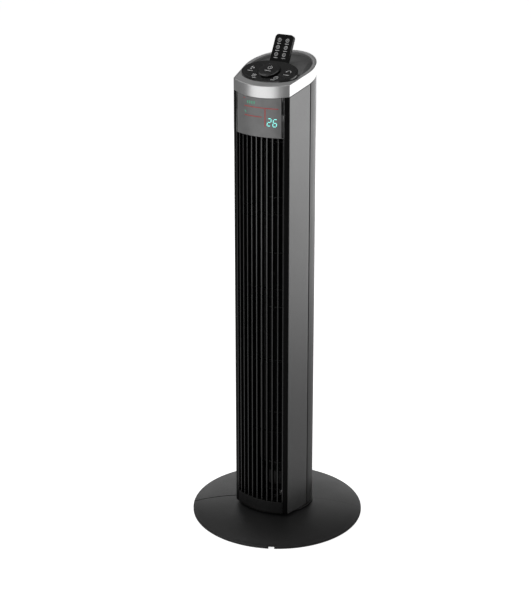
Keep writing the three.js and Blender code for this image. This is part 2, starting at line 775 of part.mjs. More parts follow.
add("remote_holder", remoteHolder(), BLACK_PLASTIC);
add("remote_front", remoteFront(), BLACK_PLASTIC);
add("remote_back", remoteBack(), BLACK_PLASTIC);
add("battery_drawer", batteryDrawer(), BLACK_PLASTIC);
keyPlaces.forEach((place, i) => add(`remote_key_${i + 1}`, remoteKey(place), RUBBER));

// ---------------------------------------------------------------- blower and drives

const axisY = IMPELLER.y;
const shaftRadius = 3.6;
const journalRadius = 4;

function impeller() {
  const { radius, inner, bottom, top, blades, rings } = IMPELLER;
  const steps = 24;
  const endPlate = 2.4;
  const plates = [];
  for (let i = 0; i < blades; i++) {
    const blade = block(-5.5, 5.5, -0.8, 0.8, bottom + 1, top - 1);
    blade.rotateZ(THREE.MathUtils.degToRad(28)).translate((radius + inner) / 2, 0, 0);
    plates.push(blade.rotateZ((2 * Math.PI * i) / blades));
  }
  const dividers = [];
  for (let i = 1; i <= rings; i++) {
    const z = bottom + ((top - bottom) * i) / (rings + 1);
    dividers.push(ring(radius, inner, z - 0.8, z + 0.8, 0, 0, steps));
  }
  const ends = [
    ring(radius, shaftRadius + 0.7, bottom, bottom + endPlate, 0, 0, steps),
    disc(radius, top - endPlate, top, 0, 0, steps),
  ];
  const wheel = join(...plates, ...dividers, ...ends);
  return wheel.translate(0, axisY, 0);
}

function impellerCoupling() {
  const hub = disc(14, MOTOR.top + 6, IMPELLER.bottom - GAP, 0, 0, 24);
  const shaft = disc(shaftRadius, MOTOR.top - 9, IMPELLER.bottom + 12, 0, 0, 16);
  return join(hub, shaft).translate(0, axisY, 0);
}

const journal = () => disc(journalRadius, IMPELLER.top + GAP, IMPELLER.top + 13, 0, axisY, 16);

function mainMotor() {
  const can = turned([
    [0, MOTOR.bottom + 3],
    [20, MOTOR.bottom],
    [MOTOR.radius, MOTOR.bottom + 4],
    [MOTOR.radius, MOTOR.top - 8],
    [20, MOTOR.top - 4],
    [14, MOTOR.top],
    [0, MOTOR.top],
  ]);
  const bore = disc(shaftRadius + 0.6, MOTOR.top - 10, MOTOR.top + 5, 0, 0, 16);
  return cut(can, bore).translate(0, axisY, 0);
}

// A stand on the chassis: four legs and a plate that the motor rests on.
function motorBracket() {
  const top = MOTOR.bottom - 2.5;
  const plate = disc(44, top - 3, top, 0, axisY, 32);
  const legs = [-1, 1].flatMap((sx) =>
    [-1, 1].map((sy) => {
      const [x, y] = [sx * 34, axisY + sy * 25];
      return block(x - 3, x + 3, y - 3, y + 3, chassisTop + GAP, top - 2.5);
    }),
  );
  return join(plate, ...legs);
}

function oscillationMotor() {
  const can = disc(18, chassisTop + GAP, chassisTop + 18, 0, crankY, 28);
  return cut(can, disc(crankShaftHole, 0, chassisTop + 8, 0, crankY, 16));
}

function crank() {
  const dx = CRANK.throw * Math.cos(CRANK.bearing);
  const dy = CRANK.throw * Math.sin(CRANK.bearing);
  const arm = new THREE.Shape();
  arm.absarc(0, 0, 4.6, -Math.PI / 2, Math.PI / 2, true);
  arm.absarc(CRANK.throw, 0, 3.2, Math.PI / 2, -Math.PI / 2, true);
  arm.closePath();
  const leverBottom = 24.3;
  const lever = prism(arm, leverBottom, 28, 6).rotateZ(CRANK.bearing).translate(0, crankY, 0);
  const shaft = disc(3, 27, chassisTop + 6, 0, crankY, 16);
  const pin = disc(2.5, HUB.trackTop + 0.6, leverBottom + 0.7, dx, crankY + dy, 14);
  return join(lever, shaft, pin);
}

function powerBoard() {
  const board = block(-28, 28, 59, 60.6, 66, 112);
  const capacitor = block(-20, -6, 52, 59.2, 74, 100);
  const terminals = block(6, 22, 54, 59.2, 78, 86);
  return join(board, capacitor, terminals);
}

// A wall of constant thickness along a smooth curve in plan.
function guideWall(points, thickness, z0, z1) {
  const curve = new THREE.SplineCurve(points.map(([x, y]) => new THREE.Vector2(x, y)));
  const steps = 10;
  const left = [];
  const right = [];
  for (let i = 0; i <= steps; i++) {
    const p = curve.getPoint(i / steps);
    const t = curve.getTangent(i / steps);
    left.push(new THREE.Vector2(p.x - (t.y * thickness) / 2, p.y + (t.x * thickness) / 2));
    right.push(new THREE.Vector2(p.x + (t.y * thickness) / 2, p.y - (t.x * thickness) / 2));
  }
  return prism(new THREE.Shape([...left, ...right.reverse()]), z0, z1);
}

const guideBottom = IMPELLER.bottom - 3;
const guideTop = IMPELLER.top + 2;
const scrollWall = () =>
  guideWall([[-50.5, -53], [-54, -34], [-58, -8], [-57, 18], [-48, 38]], 2, guideBottom, guideTop);
const noseWall = () =>
  guideWall([[50.5, -53], [44, -46], [37, -39], [44, -32], [55, -26]], 2, guideBottom, guideTop);

const bearingRadius = 11.1;

function bearingBracket() {
  const plate = prism(columnShape(13), IMPELLER.top + 5, IMPELLER.top + 7.6);
  const cup = ring(15, bearingRadius + GAP, IMPELLER.top + 2.6, IMPELLER.top + 14, 0, axisY, 28);
  const bore = disc(bearingRadius + GAP, IMPELLER.top, IMPELLER.top + 20, 0, axisY, 28);
  return cut(join(plate, cup), bore);
}

const upperBearing = () =>
  ring(bearingRadius, journalRadius + GAP, IMPELLER.top + 3, IMPELLER.top + 12, 0, axisY, 28);

add("impeller", impeller(), GRAPHITE);
add("impeller_coupling", impellerCoupling(), STEEL);
add("impeller_journal", journal(), STEEL);
add("main_motor", mainMotor(), STEEL);
add("motor_bracket", motorBracket(), GRAPHITE);
add("upper_bearing", upperBearing(), RUBBER);
add("bearing_bracket", bearingBracket(), GRAPHITE);
add("scroll_wall", scrollWall(), BLACK_PLASTIC);
add("nose_wall", noseWall(), BLACK_PLASTIC);
add("oscillation_motor", oscillationMotor(), STEEL);
add("crank", crank(), WHITE_NYLON);
add("power_board", powerBoard(), BOARD);

export default fan;
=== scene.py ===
"""Tower fan: the looks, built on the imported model. Lengths in millimetres until a piece is made."""
from math import acos, asin, atan2, cos, hypot, pi, radians, sin, sqrt, tan

import bmesh
import bpy
from mathutils import Matrix, Vector


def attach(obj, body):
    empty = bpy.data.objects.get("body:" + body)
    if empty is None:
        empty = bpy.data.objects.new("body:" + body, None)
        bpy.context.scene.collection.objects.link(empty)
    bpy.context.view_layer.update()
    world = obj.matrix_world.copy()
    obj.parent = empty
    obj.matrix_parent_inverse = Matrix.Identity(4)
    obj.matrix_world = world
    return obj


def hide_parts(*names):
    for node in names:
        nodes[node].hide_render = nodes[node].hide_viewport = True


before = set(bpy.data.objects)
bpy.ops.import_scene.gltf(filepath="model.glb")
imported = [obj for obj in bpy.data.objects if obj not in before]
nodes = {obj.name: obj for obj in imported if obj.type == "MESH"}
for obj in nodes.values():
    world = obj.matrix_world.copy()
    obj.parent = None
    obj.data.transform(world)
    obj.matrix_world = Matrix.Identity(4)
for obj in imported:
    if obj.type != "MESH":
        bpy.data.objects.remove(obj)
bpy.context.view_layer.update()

# ------------------------------------------------------------------ dimensions shared with the CAD

REAR_RADIUS = 71.5
REAR_Y = 2
CORNER_X = 62.3
CORNER_Y = -60
BULGE = 18
WALL = 2.5
GAP = 0.3
COLUMN_BOTTOM = 28.7
CAP_SLOPE = radians(15.4)
CAP_AT_CORNER = 915
BAND_HEIGHT = 22.8
PANEL_TOP = 54.5
GRILLE_TOP = 813
FINS = 9
FIN_DEPTH = 12
PANEL_SLOPE = radians(25)
PANEL_Y = -31
PANEL_HALF_WIDTH = 60
PANEL_HALF_DEPTH = 30
POWER_RADIUS = 20.8
SEGMENT_INNER = 23
REMOTE_WIDTH = 40
REMOTE_LENGTH = 86
REMOTE_THICKNESS = 7
REMOTE_LEAN = radians(26.5)
REMOTE_TOP = (0, 24.4, 989.9)
KEY_RADIUS = 4.2
REMOTE_CORNER = 7
BASE_RADIUS = 174.4
BASE_TURN = radians(28)
WELL_RADIUS = 58.8
LUG_RADIUS = 82
DOME_PEAK = 25.9
DOME_FALL = 20.1
OPEN_SEAM = 1.2  # half of the gap between the base halves on the left
TIGHT_SEAM = 0.15  # and on the right
POWER_HEIGHT = 5
JAMB_DEPTH = 5.6

FRONT_RADIUS = (CORNER_X**2 + BULGE**2) / (2 * BULGE)
FRONT_Y = CORNER_Y - BULGE + FRONT_RADIUS
FRONT_HALF = asin(CORNER_X / FRONT_RADIUS)
WINDOW_HALF = 0.845 * FRONT_HALF

# Where the flat side leaves the round back: the tangent from the front corner to the rear circle.
CORNER_BEARING = atan2(CORNER_Y - REAR_Y, CORNER_X)
SIDE_BEARING = CORNER_BEARING + acos(REAR_RADIUS / hypot(CORNER_X, CORNER_Y - REAR_Y))


def cap_height(y, drop=0.0):
    """Height of the sloped top at y, or of a plane that much under it."""
    return CAP_AT_CORNER + tan(CAP_SLOPE) * (y - CORNER_Y) - drop


PANEL_FRONT = cap_height(PANEL_Y - PANEL_HALF_DEPTH) + 0.5
PANEL_CENTRE = (0, PANEL_Y, PANEL_FRONT + tan(PANEL_SLOPE) * PANEL_HALF_DEPTH)
PANEL_DEPTH = PANEL_HALF_DEPTH / cos(PANEL_SLOPE)
ON_PANEL = Matrix.Translation(PANEL_CENTRE) @ Matrix.Rotation(PANEL_SLOPE, 4, "X")
ON_REMOTE = Matrix.Translation(REMOTE_TOP) @ Matrix.Rotation(pi / 2 - REMOTE_LEAN, 4, "X")
ON_BASE = Matrix.Rotation(BASE_TURN, 4, "Z")
IN_PLACE = Matrix.Identity(4)


# ------------------------------------------------------------------ outlines in plan


def along(start, stop, steps):
    """Evenly spaced numbers from start to stop, both included."""
    return [start + (stop - start) * i / steps for i in range(steps + 1)]


def rear_point(bearing, inset=0.0):
    radius = REAR_RADIUS - inset
    return (radius * cos(bearing), REAR_Y + radius * sin(bearing))


def front_point(angle, inset=0.0):
    """On the bulged front, angle from straight ahead towards +X."""
    radius = FRONT_RADIUS - inset
    return (radius * sin(angle), FRONT_Y - radius * cos(angle))


def corner_point(inset=0.0):
    """Where the inset right side meets the inset front."""
    start = Vector(rear_point(SIDE_BEARING, inset))
    forward = Vector((sin(SIDE_BEARING), -cos(SIDE_BEARING)))
    offset = start - Vector((0, FRONT_Y))
    half = forward.dot(offset)
    reach = -half + sqrt(half**2 - offset.length_squared + (FRONT_RADIUS - inset) ** 2)
    return tuple(start + forward * reach)


def mirrored(path):
    return [(-x, y) for x, y in reversed(path)]


def side_path(inset, rear_edge):
    """The right side from its front corner back to y = rear_edge."""
    corner = Vector(corner_point(inset))
    tangent = Vector(rear_point(SIDE_BEARING, inset))
    straight = [tuple(corner.lerp(tangent, t)) for t in along(0, 1, 6)]
    last = asin((rear_edge - REAR_Y) / (REAR_RADIUS - inset))
    curved = [rear_point(bearing, inset) for bearing in along(SIDE_BEARING, last, 6)]
    return straight + curved[1:]


def outline(inset=0.0):
    """The whole closed plan of the column, anticlockwise from the right-hand tangent point."""
    rear = [rear_point(b, inset) for b in along(SIDE_BEARING, pi - SIDE_BEARING, 96)]
    corner = corner_point(inset)
    half = atan2(corner[0], FRONT_Y - corner[1])
    front = [front_point(a, inset) for a in along(-half, half, 40)]
    right = [tuple(Vector(corner).lerp(Vector(rear[0]), t)) for t in along(0, 1, 6)]
    return rear + mirrored(right)[1:-1] + front + right[1:-1]


# ------------------------------------------------------------------ mesh helpers


def flat(level):
    return lambda x, y: level


def sloped(drop):
    return lambda x, y: cap_height(y, drop)


UNDER_BAND = sloped(BAND_HEIGHT + GAP)


def wall(outer, inner, bottom, top, closed=False):
    """A wall between two matching plan paths, from bottom(x, y) up to top(x, y)."""
    bm = bmesh.new()
    rows = []
    for (ox, oy), (ix, iy) in zip(outer, inner):
        section = [
            (ox, oy, bottom(ox, oy)),
            (ox, oy, top(ox, oy)),
            (ix, iy, top(ix, iy)),
            (ix, iy, bottom(ix, iy)),
        ]
        rows.append([bm.verts.new(point) for point in section])
    count = len(rows) if closed else len(rows) - 1
    for i in range(count):
        here = rows[i]
        there = rows[(i + 1) % len(rows)]
        for k in range(4):
            n = (k + 1) % 4
            bm.faces.new((here[k], here[n], there[n], there[k]))
    if not closed:
        bm.faces.new(rows[0])
        bm.faces.new(reversed(rows[-1]))
    bmesh.ops.recalc_face_normals(bm, faces=bm.faces)
    return bm


def front_wall(outer, inner, from_angle, to_angle, bottom, top, steps=24):
    """A piece of the bulged front between two depths under its surface and two angles."""
    angles = along(from_angle, to_angle, steps)
    outer_path = [front_point(a, outer) for a in angles]
    inner_path = [front_point(a, inner) for a in angles]
    return wall(outer_path, inner_path, bottom, top)


def slab(path, bottom, top):
    """A closed plan outline filled and given height."""
    bm = bmesh.new()
    low = [bm.verts.new((x, y, bottom(x, y))) for x, y in path]
    high = [bm.verts.new((x, y, top(x, y))) for x, y in path]
    bm.faces.new(reversed(low))
    bm.faces.new(high)
    for i in range(len(path)):
        n = (i + 1) % len(path)
        bm.faces.new((low[i], low[n], high[n], high[i]))
    bmesh.ops.recalc_face_normals(bm, faces=bm.faces)
    return bm


def turned(profile, segments=96, x=0.0, y=0.0):
    """A closed (radius, height) section turned fully about an upright axis."""
    bm = bmesh.new()
    rings = []
    for i in range(segments):
        angle = 2 * pi * i / segments
        rings.append([bm.verts.new((x + r * cos(angle), y + r * sin(angle), z)) for r, z in profile])
    for i in range(segments):
        here = rings[i]
        there = rings[(i + 1) % segments]
        for k in range(len(profile)):
            n = (k + 1) % len(profile)
            bm.faces.new((here[k], there[k], there[n], here[n]))
    bmesh.ops.remove_doubles(bm, verts=bm.verts, dist=1e-4)
    bmesh.ops.recalc_face_normals(bm, faces=bm.faces)
    return bm


def box(x0, x1, y0, y1, z0, z1):
    return slab([(x0, y0), (x1, y0), (x1, y1), (x0, y1)], flat(z0), flat(z1))


def circle(radius, u=0.0, v=0.0, steps=48):
    turns = [2 * pi * i / steps for i in range(steps)]
    return [(u + radius * cos(t), v + radius * sin(t)) for t in turns]


def panel_oval(grow=0.0, steps=128):
    """The control panel's outline in plan, made larger all round."""
    half_width = PANEL_HALF_WIDTH + grow
    half_depth = PANEL_HALF_DEPTH + grow
    turns = [2 * pi * i / steps for i in range(steps)]
    return [(half_width * cos(t), PANEL_Y + half_depth * sin(t)) for t in turns]


def merged(*parts):
    """Several meshes as one."""
    whole = bmesh.new()
    for part in parts:
        holder = bpy.data.meshes.new("part")
        part.to_mesh(holder)
        part.free()
        whole.from_mesh(holder)
        bpy.data.meshes.remove(holder)
    return whole


def moved(bm, matrix):
    bm.transform(matrix)
    return bm


def cut(body, *tools):
    """body with the tools cut away."""
    made = []
    for bm in (body, *tools):
        mesh = bpy.data.meshes.new("cutting")
        bm.to_mesh(mesh)
        bm.free()
        thing = bpy.data.objects.new("cutting", mesh)
        bpy.context.scene.collection.objects.link(thing)
        made.append(thing)
    for tool in made[1:]:
        modifier = made[0].modifiers.new("cut", "BOOLEAN")
        modifier.operation = "DIFFERENCE"
        modifier.solver = "EXACT"
        modifier.object = tool
    bpy.context.view_layer.update()
    evaluated = made[0].evaluated_get(bpy.context.evaluated_depsgraph_get())
    result = bmesh.new()
    result.from_mesh(evaluated.to_mesh())
    evaluated.to_mesh_clear()
    for thing in made:
        mesh = thing.data
        bpy.data.objects.remove(thing)
        bpy.data.meshes.remove(mesh)
    bmesh.ops.dissolve_degenerate(result, edges=result.edges, dist=1e-3)
    return result


def round_edges(thing, radius, segments, limit):
    """A bevel on every edge sharper than limit degrees, radius in millimetres."""
    rounding = thing.modifiers.new("edges", "BEVEL")
    rounding.width = radius / 1000
    rounding.segments = segments
    rounding.limit_method = "ANGLE"
    rounding.angle_limit = radians(limit)
    return rounding


def piece(
    name, bm, body, material, replaces=(), matrix=IN_PLACE, bevel=0.5, segments=3, limit=35
):
    """Makes a Blender object from a mesh in millimetres, with rounded edges, riding on a body.

    material goes on all its faces, and replaces lists the CAD nodes that the object stands for."""
    bm.transform(Matrix.Scale(0.001, 4) @ matrix)
    mesh = bpy.data.meshes.new(name)
    bm.to_mesh(mesh)
    bm.free()
    mesh.polygons.foreach_set("use_smooth", [True] * len(mesh.polygons))
    thing = bpy.data.objects.new(name, mesh)
    bpy.context.scene.collection.objects.link(thing)
    mesh.materials.append(material)
    if bevel:
        round_edges(thing, bevel, segments, limit).harden_normals = True
    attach(thing, body)
    if replaces:
        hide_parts(*replaces)
    return thing


# ------------------------------------------------------------------ materials


def linear(level):
    """A 0 to 255 display level as linear light."""
    c = level / 255
    return c / 12.92 if c <= 0.04045 else ((c + 0.055) / 1.055) ** 2.4


RELIEF_DEPTH = 0.0004  # metres


def finish(name, dark, light, rough, grain, bump, tint=(1, 1, 1), **sockets):
    """A moulded, painted or metal surface: fine colour grain, uneven gloss and a fine relief.

    dark and light are display levels, rough is the range of roughness, grain is the noise
    scale per metre, bump is the strength of the relief, and sockets are set on the shader."""
    material = bpy.data.materials.new(name)
    material.use_nodes = True
    tree = material.node_tree
    shader = tree.nodes["Principled BSDF"]
    place = tree.nodes.new("ShaderNodeTexCoord").outputs["Object"]

    def noise(scale, detail=3.0):
        node = tree.nodes.new("ShaderNodeTexNoise")
        node.inputs["Scale"].default_value = scale
        node.inputs["Detail"].default_value = detail
        tree.links.new(place, node.inputs["Vector"])
        return node.outputs["Fac"]

    ramp = tree.nodes.new("ShaderNodeValToRGB")
    for element, position, level in ((0, 0.3, dark), (1, 0.7, light)):
        ramp.color_ramp.elements[element].position = position
        ramp.color_ramp.elements[element].color = [linear(level) * part for part in tint] + [1]
    tree.links.new(noise(grain), ramp.inputs["Fac"])
    tree.links.new(ramp.outputs["Color"], shader.inputs["Base Color"])
    spread = tree.nodes.new("ShaderNodeMapRange")
    spread.inputs["From Min"].default_value = 0.3
    spread.inputs["From Max"].default_value = 0.7
    spread.inputs["To Min"].default_value = rough[0]
    spread.inputs["To Max"].default_value = rough[1]
    tree.links.new(noise(9.0, 5.0), spread.inputs["Value"])
    tree.links.new(spread.outputs["Result"], shader.inputs["Roughness"])
    relief = tree.nodes.new("ShaderNodeBump")
    relief.inputs["Strength"].default_value = bump
    relief.inputs["Distance"].default_value = RELIEF_DEPTH
    tree.links.new(noise(1.6 * grain, 2.0), relief.inputs["Height"])
    tree.links.new(relief.outputs["Normal"], shader.inputs["Normal"])
    for socket, value in sockets.items():
        shader.inputs[socket.replace("_", " ")].default_value = value
    return material


BASE_PLASTIC = finish("satin_base_plastic", 18, 30, (0.4, 0.48), 620, 0.35)
RING_PLASTIC = finish("turntable_plastic", 20, 28, (0.3, 0.38), 1200, 0.1)
INNER_PLASTIC = finish("inner_plastic", 12, 18, (0.5, 0.6), 1200, 0.2)
GRILLE_PLASTIC = finish("grille_plastic", 8, 12, (0.24, 0.3), 900, 0.1, Specular_IOR_Level=1.0)
FRAME_PLASTIC = finish("frame_plastic", 2, 5, (0.4, 0.5), 900, 0.1, Specular_IOR_Level=0.12)
LOWER_PLASTIC = finish("lower_panel_plastic", 10, 15, (0.4, 0.5), 1400, 0.2, Specular_IOR_Level=0.3)
SIDE_PAINT = finish(
    "graphite_metallic_paint", 96, 122, (0.34, 0.4), 2200, 0.12,
    Metallic=0.75, Coat_Weight=0.15, Coat_Roughness=0.3,
)
REAR_PAINT = finish("rear_housing_paint", 76, 92, (0.36, 0.44), 1800, 0.15, Metallic=0.6)
SILVER = finish("silver_paint", 196, 214, (0.3, 0.36), 2600, 0.05, Metallic=0.9)
CAP_GREY = finish("cap_grey_paint", 176, 192, (0.36, 0.44), 2000, 0.1, Metallic=0.5)
# Darker than the cap's grey: painted shade of the sunken tray.
TRAY_SHADE_GREY = finish("tray_painted_shade_grey", 104, 118, (0.4, 0.5), 1500, 0.15, Metallic=0.3)
PIANO_BLACK = finish(
    "piano_black", 4, 7, (0.08, 0.13), 400, 0.01, Coat_Weight=0.6, Coat_Roughness=0.05
)
BUTTON_BLACK = finish(
    "button_black", 7, 11, (0.14, 0.2), 500, 0.015, Coat_Weight=0.4, Coat_Roughness=0.08
)
LENS = finish("smoked_lens", 128, 138, (0.3, 0.36), 60, 0.01)
PRINT_WHITE = finish("white_print", 214, 232, (0.45, 0.55), 1500, 0.05)
KEY_PRINT = finish("grey_key_print", 206, 226, (0.45, 0.55), 1500, 0.05)
RED_LIGHT = finish(
    "red_display_light", 120, 134, (0.4, 0.5), 300, 0.02, (1, 0.2, 0.2),
    Emission_Color=(0.5, 0.06, 0.06, 1), Emission_Strength=0.45,
)
GREEN_LIGHT = finish(
    "green_display_light", 120, 134, (0.4, 0.5), 300, 0.02, (0.2, 1, 0.6),
    Emission_Color=(0.05, 0.5, 0.28, 1), Emission_Strength=0.7,
)
CYAN_LIGHT = finish(
    "cyan_display_light", 200, 220, (0.4, 0.5), 300, 0.02, (0.4, 1, 0.95),
    Emission_Color=(0.25, 0.95, 0.85, 1), Emission_Strength=1.0,
)
REMOTE_PLASTIC = finish("remote_plastic", 4, 8, (0.36, 0.46), 1600, 0.15, Specular_IOR_Level=0.25)
KEY_RUBBER = finish("remote_key_rubber", 76, 88, (0.5, 0.6), 1500, 0.15)
RUBBER = finish("rubber", 18, 26, (0.7, 0.82), 1800, 0.4)
STEEL = finish("zinc_plated_steel", 168, 186, (0.26, 0.38), 800, 0.1, Metallic=1.0)
NYLON = finish("white_nylon", 205, 218, (0.4, 0.5), 900, 0.1)
BOARD = finish("circuit_board", 40, 70, (0.35, 0.5), 260, 0.3, tint=(0.25, 1, 0.45))
FLOOR = finish("studio_floor", 238, 242, (0.6, 0.7), 40, 0.01)

# ------------------------------------------------------------------ base

NOTCH_HALF = 5.8
NOTCH_HEIGHT = 5.4


def dome_height(r):
    """Height of the base's top at a radius: nearly flat inside, steeper towards the rim."""
    return DOME_PEAK - DOME_FALL * (r / BASE_RADIUS) ** 3


def under_dome(drop):
    return lambda x, y: dome_height(hypot(x, y)) - drop


def half_turned(profile, side, segments=120):
    """Half a turned piece with flat ends: the seam along X is tight on the right, open on the left."""
    bm = bmesh.new()
    rings = []
    for i in range(segments + 1):
        ring = []
        for r, z in profile:
            first = asin(TIGHT_SEAM / r)
            last = pi - asin(OPEN_SEAM / r)
            angle = side * (first + (last - first) * i / segments)
            ring.append(bm.verts.new((r * cos(angle), r * sin(angle), z)))
        rings.append(ring)
    for i in range(segments):
        for k in range(len(profile)):
            n = (k + 1) % len(profile)
            bm.faces.new((rings[i][k], rings[i + 1][k], rings[i + 1][n], rings[i][n]))
    bm.faces.new(rings[0])
    bm.faces.new(reversed(rings[-1]))
    bmesh.ops.recalc_face_normals(bm, faces=bm.faces)
    return bm


def base_half(side):
    """The front (-1) or rear (+1) half of the dome, with its lug round the hub and its notch."""
    skin = 2.6
    edge = 2.0
    bottom = 1.2
    lug_bottom = 7.3
    top = [(r, dome_height(r)) for r in along(WELL_RADIUS, BASE_RADIUS - edge, 22)]
    rim_top = dome_height(BASE_RADIUS - edge)
    rim = [
        (BASE_RADIUS - edge + edge * sin(t), rim_top - edge + edge * cos(t))
        for t in along(0.35, pi / 2, 5)
    ]
    foot = [(BASE_RADIUS, bottom), (BASE_RADIUS - skin, bottom)]
    under = [(r, dome_height(r) - skin) for r in along(BASE_RADIUS - skin, LUG_RADIUS, 12)]
    lug = [(LUG_RADIUS, lug_bottom), (WELL_RADIUS, lug_bottom)]
    shell = half_turned(top + rim + foot + under + lug, side)
    rim_y = side * BASE_RADIUS
    return cut(shell, box(-NOTCH_HALF, NOTCH_HALF, rim_y - 8, rim_y + 8, -1, NOTCH_HEIGHT))


for side, node in ((-1, "base_front_half"), (1, "base_rear_half")):
    piece(
        f"dome_{node}",
        base_half(side),
        "base",
        BASE_PLASTIC,
        [node],
        ON_BASE,
        bevel=0.25,
        limit=50,
    )


def seam_lap_painted_shade():
    """The tongue of the rear half that closes the open seam from below, in near-black plastic: painted
    shade that darkens the seam.
    """
    half = 4
    line = along(LUG_RADIUS + 2, BASE_RADIUS - 8, 16)
    return wall([(-r, -half) for r in line], [(-r, half) for r in line], under_dome(4.6), under_dome(3.2))


# A near-black tongue under the open seam: painted shade that makes the seam read darker than the base.
piece("seam_lap_painted_shade", seam_lap_painted_shade(), "base", FRAME_PLASTIC, matrix=ON_BASE, bevel=0)


def glide_ring():
    """The ring under the column: its lip drops into the well, and its outer edge is rounded."""
    inner = 55.8
    lip = 58.3
    outer = 74.2
    edge = 0.8
    lip_bottom = 24.7
    bottom = 25.5
    top = COLUMN_BOTTOM - GAP
    section = [(inner, lip_bottom), (lip, lip_bottom), (lip, bottom), (outer - 0.2, bottom)]
    section.append((outer, bottom + 0.2))
    for t in along(0, pi / 2, 4):
        section.append((outer - edge + edge * cos(t), top - edge + edge * sin(t)))
    section.append((inner, top))
    return turned(section, 144)


piece("turntable_ring", glide_ring(), "base", RING_PLASTIC, ["glide_ring"], bevel=0)

# ------------------------------------------------------------------ column sides and back

SEAM_Y = 1.2  # half of the upright groove between side and back


def as_made(path):
    return path


SIDES = {"right": as_made, "left": mirrored}

for side, flip in SIDES.items():
    outer = flip(side_path(0, -SEAM_Y))
    inner = flip(side_path(WALL, -SEAM_Y))
    skin = wall(outer, inner, flat(COLUMN_BOTTOM), UNDER_BAND)
    piece(
        f"side_skin_{side}", skin, "column", SIDE_PAINT, [f"side_panel_{side}"], bevel=0.9
    )

SLOT_BEARINGS = (52, 90, 128)  # degrees
SLOT_HALF = 18
SLOT_TALL = 5.6
SLOT_ROWS = 61
FIRST_SLOT = 130
LAST_SLOT = 800
ROW_PITCH = (LAST_SLOT - FIRST_SLOT) / (SLOT_ROWS - 1)
CELL_HALF = radians(19)
LONG_STEPS = 8
END_STEPS = 6


def slot_rims(z):
    """Matching points of a round-ended slot and of the cell round it, as (angle, height)."""
    straight = (SLOT_HALF - SLOT_TALL / 2) / REAR_RADIUS
    radius = SLOT_TALL / 2
    hole = []
    cell = []
    for t in along(-1, 1, LONG_STEPS):
        hole.append((t * straight, z - radius))
        cell.append((t * CELL_HALF, z - ROW_PITCH / 2))
    for t in along(-1, 1, END_STEPS)[1:-1]:
        turn = t * pi / 2
        hole.append((straight + radius * cos(turn) / REAR_RADIUS, z + radius * sin(turn)))
        cell.append((CELL_HALF, z + t * ROW_PITCH / 2))
    for t in along(1, -1, LONG_STEPS):
        hole.append((t * straight, z + radius))
        cell.append((t * CELL_HALF, z + ROW_PITCH / 2))
    for t in along(1, -1, END_STEPS)[1:-1]:
        turn = t * pi / 2
        hole.append((-straight - radius * cos(turn) / REAR_RADIUS, z + radius * sin(turn)))
        cell.append((-CELL_HALF, z + t * ROW_PITCH / 2))
    return hole, cell


def rear_skin():
    """The round back with its rows of intake slots, as one surface."""
    bm = bmesh.new()

    def vertex(bearing, z):
        x, y = rear_point(bearing)
        return bm.verts.new((x, y, z))

    def sheet(bearings, heights):
        rows = []
        for bearing in bearings:
            x, y = rear_point(bearing)
            rows.append([vertex(bearing, height(x, y)) for height in heights])
        for a, b in zip(rows, rows[1:]):
            for k in range(len(heights) - 1):
                bm.faces.new((a[k], b[k], b[k + 1], a[k + 1]))

    low = FIRST_SLOT - ROW_PITCH / 2
    high = LAST_SLOT + ROW_PITCH / 2
    levels = [flat(z) for z in along(low, high, SLOT_ROWS * END_STEPS)]
    start = asin((SEAM_Y - REAR_Y) / REAR_RADIUS)
    edges = [start]
    for centre in SLOT_BEARINGS:
        edges += [radians(centre) - CELL_HALF, radians(centre) + CELL_HALF]
    edges.append(pi - start)
    for i in range(len(edges) - 1):
        steps = LONG_STEPS if i % 2 else 6
        bearings = along(edges[i], edges[i + 1], steps)
        sheet(bearings, [flat(COLUMN_BOTTOM), flat(low)])
        sheet(bearings, [flat(high), UNDER_BAND])
        if i % 2 == 0 and edges[i + 1] - edges[i] > 1e-6:
            sheet(bearings, levels)
    for centre in SLOT_BEARINGS:
        for z in along(FIRST_SLOT, LAST_SLOT, SLOT_ROWS - 1):
            hole, cell = slot_rims(z)
            inner = [vertex(radians(centre) + angle, height) for angle, height in hole]
            outer = [vertex(radians(centre) + angle, height) for angle, height in cell]
            for k in range(len(inner)):
                n = (k + 1) % len(inner)
                bm.faces.new((outer[k], outer[n], inner[n], inner[k]))
    bmesh.ops.remove_doubles(bm, verts=bm.verts, dist=0.01)
    bmesh.ops.recalc_face_normals(bm, faces=bm.faces)
    return bm


rear = piece("rear_shell", rear_skin(), "column", REAR_PAINT, ["rear_housing"], bevel=0)
thickness = rear.modifiers.new("thickness", "SOLIDIFY")
thickness.thickness = WALL / 1000
thickness.offset = -1
round_edges(rear, 0.5, 2, 50).harden_normals = True

# The tongue behind the upright groove between side and back, in near-black plastic: painted shade in the
# groove.
TONGUE_FRONT = -9
TONGUE_REAR = 5
tongue_bearings = along(
    asin((TONGUE_FRONT - REAR_Y) / REAR_RADIUS), asin((TONGUE_REAR - REAR_Y) / REAR_RADIUS), 8
)
for side, flip in SIDES.items():
    outer = flip([rear_point(bearing, WALL + GAP) for bearing in tongue_bearings])
    inner = flip([rear_point(bearing, 2 * WALL) for bearing in tongue_bearings])
    tongue = wall(outer, inner, flat(COLUMN_BOTTOM + 4), sloped(BAND_HEIGHT + GAP + 0.2))
    # Near-black fill behind the groove: painted shade.
    piece(f"groove_{side}", tongue, "column", FRAME_PLASTIC, bevel=0.3)

# ------------------------------------------------------------------ front

JAMB_INNER = WINDOW_HALF + 0.004  # angles on the bulged front
JAMB_OUTER = FRONT_HALF - 0.008
RAIL_INSET = 2.9
RAILS = ((COLUMN_BOTTOM + 1, 5), (GRILLE_TOP + 1, 4), (880, 5))  # bottom and height of each


